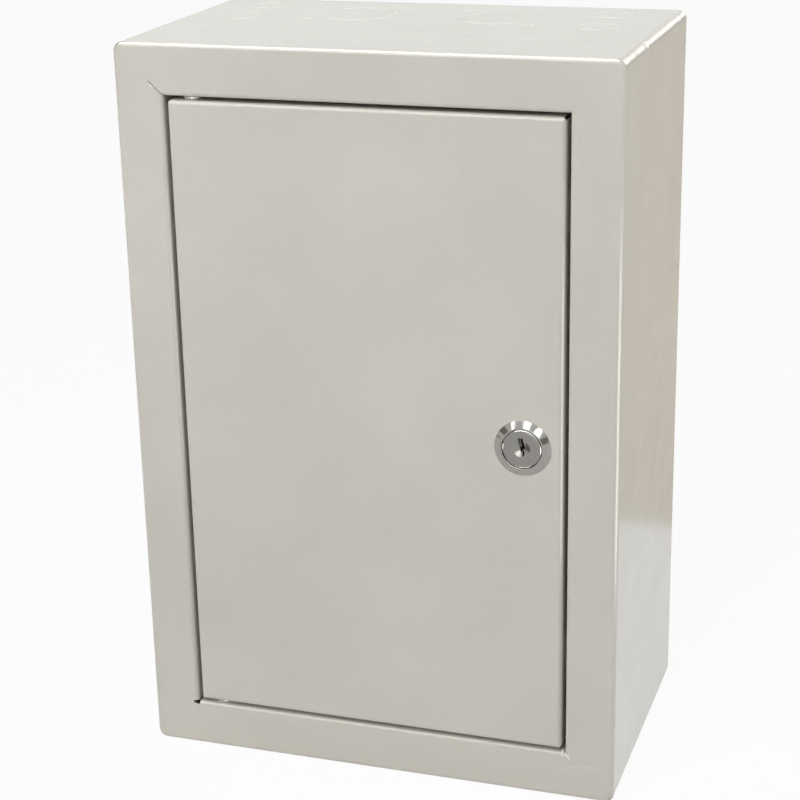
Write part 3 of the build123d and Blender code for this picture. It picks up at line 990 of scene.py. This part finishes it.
# Weld seams, dressed by hand, along the four depth edges
seam = {
    "radius": 3.9 * mm,
    "proud": 0.10 * mm,
    "lumps": 0.08 * mm,
    "lumpCells": (160, 2.2, 7.0),       # along the seam, round it, and from seam to seam
    "fineLumps": (0.5, 2.3),            # strength and scale beside the coarse ones
    "ripple": 0.02 * mm,
    "rippleLength": 1.5 * mm,
    "endGap": 1.4 * mm,
    "endFade": 12,
    "edgeFade": 0.7,
    "tuckedIn": 0.03 * mm,              # of the strip's long edges, under the shell's face
    "deepest": 0.02 * mm,
    "roomShare": 0.9,                   # of the room up to the edge's sharp corner
    "rows": 220,
    "steps": 14,
    # Height and half length of single drops on the upper right seam, in mm, by distance from the front
    "drops": {41.0: (0.34, 2.0), 36.0: (0.22, 1.4), 20.0: (0.2, 0.8)},
}


def seamRise(sideX, sideZ, back, progress, share):
    # How far the weld stands out at a place, with share going round its quarter circle
    ends = min(1.0, seam["endFade"] * progress, seam["endFade"] * (1 - progress))
    fade = math.sin(math.pi * share) ** seam["edgeFade"] * ends
    if fade <= 0:
        return 0.0
    longCells, roundCells, sideCells = seam["lumpCells"]
    fineShare, finer = seam["fineLumps"]
    spot = Vector((back * longCells * sideX, share * roundCells, sideCells * sideZ))
    lump = noise.noise(spot) + fineShare * noise.noise(spot * finer)
    ripple = math.sin(back / seam["rippleLength"] * 2 * math.pi + 2.0 * lump)
    height = seam["proud"] + seam["lumps"] * lump + seam["ripple"] * ripple * (0.5 + lump)
    if sideX > 0 and sideZ > 0:
        for place, (tall, wide) in seam["drops"].items():
            swell = math.exp(-(((back / mm - place) / wide) ** 2))
            height += tall * mm * swell * (0.6 + lump)
    angle = math.radians(90 * share)
    room = seam["radius"] * (1 / max(math.cos(angle), math.sin(angle)) - 1)
    return min(max(-seam["deepest"], height * fade), seam["roomShare"] * room)


def seamStrip(sideX, sideZ):
    radius = seam["radius"]
    centreX = sideX * (shellHigh.x - radius)
    centreZ = sideZ * (shellHigh.z - radius)
    length = shellHigh.y - shellLow.y - 2 * seam["endGap"]
    vertices = []
    for row in range(seam["rows"] + 1):
        progress = row / seam["rows"]
        back = seam["endGap"] + length * progress
        for step in range(seam["steps"] + 1):
            share = step / seam["steps"]
            angle = math.radians(90 * share)
            tucked = seam["tuckedIn"] if step in (0, seam["steps"]) else 0.0
            reach = radius + seamRise(sideX, sideZ, back, progress, share) - tucked
            vertices.append((
                centreX + sideX * reach * math.cos(angle),
                frontY + back,
                centreZ + sideZ * reach * math.sin(angle),
            ))
    faces = []
    across = seam["steps"] + 1
    for row in range(seam["rows"]):
        for step in range(seam["steps"]):
            first = row * across + step
            faces.append((first, first + 1, first + across + 1, first + across))
    return vertices, faces


def makeSeams():
    strips = [seamStrip(sideX, sideZ) for sideX in (-1, 1) for sideZ in (-1, 1)]
    vertices, faces = joined(*strips)
    addPiece("weldSeams", vertices, faces, powderCoat, "cabinet", sharpAngle=80)


makeSeams()
print("weld seams made")


# Marks that hand work left on the front: paint lines, weld slivers and a half filled notch.
# Points are millimetres to the right and up from the cabinet's middle.
marks = {
    "arch": [
        (76.2, -138.7), (77.6, -138.2), (80.8, -136.5), (84.6, -135.0), (88.3, -134.7),
        (90.9, -135.1), (93.8, -135.4), (95.6, -136.4), (96.0, -137.6), (95.1, -138.7),
    ],
    "archHalf": 0.34 * mm,
    "archRise": 0.07 * mm,
    "slivers": [
        [(79.0, -128.2), (79.3, -129.3), (79.5, -130.6)],
        [(80.4, -130.3), (81.0, -130.9), (81.6, -131.7), (82.1, -132.6)],
        [(78.6, -130.8), (79.2, -131.1), (79.9, -131.3)],
        [(-85.3, 134.3), (-84.6, 133.7), (-83.9, 133.0)],
    ],
    "sliverHalf": 0.17 * mm,
    "sliverRise": 0.16 * mm,
    "beadSteps": 6,
    "notch": [
        (-82.45, -132.45), (-79.6, -132.45), (-79.6, -131.7), (-80.2, -131.3), (-80.7, -131.6),
        (-81.2, -131.1), (-81.7, -131.3), (-82.0, -130.8), (-82.45, -130.9),
    ],
    "notchFront": 0.04 * mm,
    "notchBack": 1.0 * mm,
}


def beadLine(points, half, rise):
    # A half round bead that lies on the front and tapers to its ends
    vertices = []
    count = len(points)
    steps = marks["beadSteps"]
    for index, point in enumerate(points):
        ahead = Vector(points[min(index + 1, count - 1)]) - Vector(points[max(index - 1, 0)])
        side = Vector((-ahead.y, ahead.x)).normalized()
        taper = 0.25 + 0.75 * math.sin(math.pi * (index + 0.5) / count)
        for step in range(steps + 1):
            turn = math.pi * step / steps
            spot = Vector(point) * mm + side * half * taper * math.cos(turn)
            vertices.append((spot.x, frontY + 0.01 * mm - rise * taper * math.sin(turn), spot.y))
    faces = []
    for index in range(count - 1):
        for step in range(steps):
            first = index * (steps + 1) + step
            faces.append((first, first + 1, first + steps + 2, first + steps + 1))
    return vertices, faces


def makeMarks():
    vertices, faces = beadLine(marks["arch"], marks["archHalf"], marks["archRise"])
    addPiece("archMark", vertices, faces, thinBead, "cabinet", sharpAngle=70)
    beads = [beadLine(line, marks["sliverHalf"], marks["sliverRise"]) for line in marks["slivers"]]
    vertices, faces = joined(*beads)
    # the slivers take the near white bead coat, a painted highlight
    addPiece("weldSlivers", vertices, faces, paintBeadHighlight, "cabinet", sharpAngle=70)
    outline = [(x * mm, z * mm) for x, z in marks["notch"]]
    fill, faces = prism(outline, frontY + marks["notchFront"], frontY + marks["notchBack"])
    vertices = [(x, y, z) for x, z, y in fill]
    addPiece("notchWeld", vertices, faces, powderCoat, "cabinet")


makeMarks()
print("marks made")


# Floor, backdrop and lights
studio = {
    "floorHalf": 4.0,
    "floorTone": (0.85, 0.85, 0.84),
    "paperBack": 0.165,
    "paperFront": -0.115,
    "paperBlur": 0.006,
    "paperGlow": (0.92, 0.92, 0.92),
    "roomGlow": (0.63, 0.57, 0.46),
    "frontGlow": (0.45, 0.44, 0.42),
    "worldDiffuse": 0.176,
    "worldGlossy": (0.46, 0.45, 0.43),
    "shadowShare": 0.06,
}


def emptyTree(owner):
    owner.use_nodes = True
    owner.node_tree.nodes.clear()
    return owner.node_tree


def addSheet(name, corners, finish):
    # A flat sheet of the studio, and the empty shader tree of its own finish
    mesh = bpy.data.meshes.new(name)
    mesh.from_pydata(corners, [], [(0, 1, 2, 3)])
    material = bpy.data.materials.new(finish)
    mesh.materials.append(material)
    sheet = newObject(name, mesh)
    return sheet, emptyTree(material)


def mixShaders(tree, factor, first, second):
    node = addNode(tree, "ShaderNodeMixShader")
    feed(tree, node, {0: factor, 1: first.outputs[0], 2: second.outputs[0]})
    return node


def shinyRays(tree, path):
    return mathNode(tree, "MAXIMUM", path.outputs["Is Glossy Ray"], path.outputs["Is Transmission Ray"])


def makeFloor():
    half = studio["floorHalf"]
    corners = [(-half, -half, floorZ), (half, -half, floorZ), (half, half, floorZ), (-half, half, floorZ)]
    tree = addSheet("studioFloor", corners, "paleFloor")[1]
    path = addNode(tree, "ShaderNodeLightPath")
    matt = addNode(tree, "ShaderNodeBsdfDiffuse", Color=(*studio["floorTone"], 1))
    white = addNode(tree, "ShaderNodeEmission", Color=(1, 1, 1, 1), Strength=1.0)
    place = addNode(tree, "ShaderNodeTexCoord").outputs["Object"]
    depth = addNode(tree, "ShaderNodeSeparateXYZ", Vector=place).outputs["Y"]
    blur = studio["paperBlur"]
    back = studio["paperBack"]
    front = studio["paperFront"]
    beyond = rangeNode(tree, depth, back - blur, back + blur, 0.0, 1.0)
    before = rangeNode(tree, depth, front - blur, front + blur, 1.0, 0.0)
    behind = mixColours(tree, beyond, studio["paperGlow"], studio["roomGlow"])
    tone = mixColours(tree, before, behind, studio["frontGlow"])
    mirrored = addNode(tree, "ShaderNodeEmission", Color=tone, Strength=1.0)
    paper = mixShaders(tree, studio["shadowShare"], white, matt)
    plain = mixShaders(tree, path.outputs["Is Camera Ray"], matt, paper)
    shown = mixShaders(tree, shinyRays(tree, path), plain, mirrored)
    addNode(tree, "ShaderNodeOutputMaterial", Surface=shown.outputs[0])


def makeWorld():
    world = bpy.data.worlds.new("studioWorld")
    bpy.context.scene.world = world
    tree = emptyTree(world)
    path = addNode(tree, "ShaderNodeLightPath")
    soft = studio["worldDiffuse"]
    plain, mirrored, white = [
        addNode(tree, "ShaderNodeBackground", Color=(*colour, 1), Strength=1.0)
        for colour in ((soft, soft, soft), studio["worldGlossy"], (1, 1, 1))
    ]
    unseen = mixShaders(tree, shinyRays(tree, path), plain, mirrored)
    shown = mixShaders(tree, path.outputs["Is Camera Ray"], unseen, white)
    addNode(tree, "ShaderNodeOutputWorld", Surface=shown.outputs[0])


# Cards that only shiny faces see. Directions are degrees from straight in front, to the right and up.
windowGlow = (2.4, 2.4, 2.35)
cards = {
    "leftWindow": {"towards": (-37, 26), "span": (5, 14), "glow": windowGlow},
    "frontWindow": {"towards": (-4, 31), "span": (13, 14), "glow": windowGlow},
    "rightWindow": {"towards": (21.5, 16.5), "span": (11, 16), "glow": windowGlow},
    "lowWindow": {"towards": (4, 3), "span": (22, 22), "glow": (1.7, 1.7, 1.65)},
    "rightShade": {"towards": (32.5, -0.5), "span": (12, 15), "glow": (0.17, 0.145, 0.13)},
    "rightShadeLow": {"towards": (35.3, -15), "span": (12, 5), "glow": (0.20, 0.17, 0.16)},
    "leftShade": {"towards": (-56, 9.5), "span": (16, 11), "glow": (0.17, 0.14, 0.12)},
    "leftShadeLow": {"towards": (-66, -6), "span": (10, 6), "glow": (0.20, 0.18, 0.16)},
    "backWindow": {"towards": (163, 20), "span": (19, 20), "far": 1.5, "glow": (3.0, 2.94, 2.78)},
    "backWall": {"towards": (175, 20), "span": (80, 24), "glow": (1.3, 1.3, 1.25)},
}
cardDistance = 1.6
# Strips on the floor, as degrees from straight in front and metres from a point at the front
floorCards = {
    "floorShade": {"from": lockX, "turns": (-40, -62), "reach": (0.13, 0.75), "glow": (0.14, 0.12, 0.11)},
    "floorPaper": {"from": shellHigh.x, "turns": (98, 46), "reach": (0.22, 0.95), "glow": (8.0, 7.8, 7.3)},
}
# Level panels overhead, as height, left, right, front and back
overhead = {
    "ceiling": {"sides": (1.5, -1.6, 1.8, -1.8, 2.3), "glow": (2.6, 2.6, 2.5)},
    "ceilingStrip": {"sides": (1.48, -1.4, 0.5, -0.42, 0.95), "glow": (13.0, 12.6, 11.6)},
    "ceilingFront": {"sides": (1.47, -1.4, 0.3, -1.40, -0.42), "glow": (6.0, 5.8, 5.4)},
}


def direction(azimuth, elevation):
    # Unit vector from degrees to the right of straight in front, and up
    turn = math.radians(azimuth)
    rise = math.radians(elevation)
    return Vector((math.sin(turn) * math.cos(rise), -math.cos(turn) * math.cos(rise), math.sin(rise)))


def addCard(name, corners, colour):
    plane, tree = addSheet(name, corners, name)
    glow = addNode(tree, "ShaderNodeEmission", Color=(*colour, 1), Strength=1.0)
    addNode(tree, "ShaderNodeOutputMaterial", Surface=glow.outputs[0])
    plane.visible_camera = False
    plane.visible_diffuse = False
    plane.visible_shadow = False
    plane.visible_transmission = False


def makeCards():
    centre = Vector((lockX, frontY, lockZ))
    for name, card in cards.items():
        towards = direction(*card["towards"])
        far = card.get("far", cardDistance)
        wide, high = [far * math.tan(math.radians(span / 2)) for span in card["span"]]
        facing = towards.to_track_quat("Z", "Y").to_matrix()
        corners = []
        for x, y in ((-wide, -high), (wide, -high), (wide, high), (-wide, high)):
            corners.append(tuple(centre + towards * far + facing @ Vector((x, y, 0))))
        addCard(name, corners, card["glow"])
    for name, card in floorCards.items():
        nearTurn, farTurn = [math.radians(turn) for turn in card["turns"]]
        near, far = card["reach"]
        corners = []
        for turn, reach in ((nearTurn, near), (nearTurn, far), (farTurn, far), (farTurn, near)):
            aside = card["from"] + reach * math.sin(turn)
            corners.append((aside, frontY - reach * math.cos(turn), floorZ + mm))
        addCard(name, corners, card["glow"])
    for name, card in overhead.items():
        height, left, right, front, back = card["sides"]
        level = ((left, front), (right, front), (right, back), (left, back))
        addCard(name, [(x, y, height) for x, y in level], card["glow"])


lamps = {
    "keySoftbox": {"at": (-0.12, -0.80, 1.00), "size": (0.6, 0.6), "power": 4.5},
    "frontSoftbox": {"at": (-0.35, -1.30, 0.50), "size": (0.9, 0.9), "power": 9.3},
    "rightSoftbox": {"at": (1.20, 0.10, 0.40), "size": (0.7, 0.7), "power": 7.4},
}


def addLamps():
    target = Vector((0, frontY / 2, 0))
    for name, lamp in lamps.items():
        light = bpy.data.lights.new(name, "AREA")
        light.shape = "RECTANGLE"
        light.size, light.size_y = lamp["size"]
        light.energy = lamp["power"]
        softbox = newObject(name, light)
        softbox.location = lamp["at"]
        softbox.rotation_euler = (target - softbox.location).to_track_quat("-Z", "Y").to_euler()
        softbox.visible_camera = False
        softbox.visible_glossy = False


makeFloor()
makeWorld()
makeCards()
addLamps()
print("studio ready")


# Camera, from a fit to the cabinet's corners in the photograph
shot = {
    "azimuth": 18.42,
    "elevation": 19.58,
    "roll": -1.203,
    "distance": 0.829263,
    "aside": (-0.006204, -0.006496),
    "lens": 88.89,
    "sensor": 36.0,
}


def addCamera():
    azimuth = math.radians(shot["azimuth"])
    roll = math.radians(shot["roll"])
    back = direction(shot["azimuth"], shot["elevation"])
    level = Vector((math.cos(azimuth), math.sin(azimuth), 0))
    upright = back.cross(level)
    right = level * math.cos(roll) + upright * math.sin(roll)
    up = upright * math.cos(roll) - level * math.sin(roll)
    target = Vector((0, frontY / 2, 0))
    eye = target + back * shot["distance"] + right * shot["aside"][0] + up * shot["aside"][1]
    data = bpy.data.cameras.new("camera")
    data.lens = shot["lens"]
    data.sensor_width = shot["sensor"]
    data.clip_start = 0.01
    data.clip_end = 20.0
    camera = newObject("camera", data)
    camera.matrix_world = Matrix((
        (right.x, up.x, back.x, eye.x),
        (right.y, up.y, back.y, eye.y),
        (right.z, up.z, back.z, eye.z),
        (0, 0, 0, 1),
    ))
    bpy.context.scene.camera = camera


addCamera()
bpy.context.scene.view_settings.view_transform = "Standard"
print("camera ready")
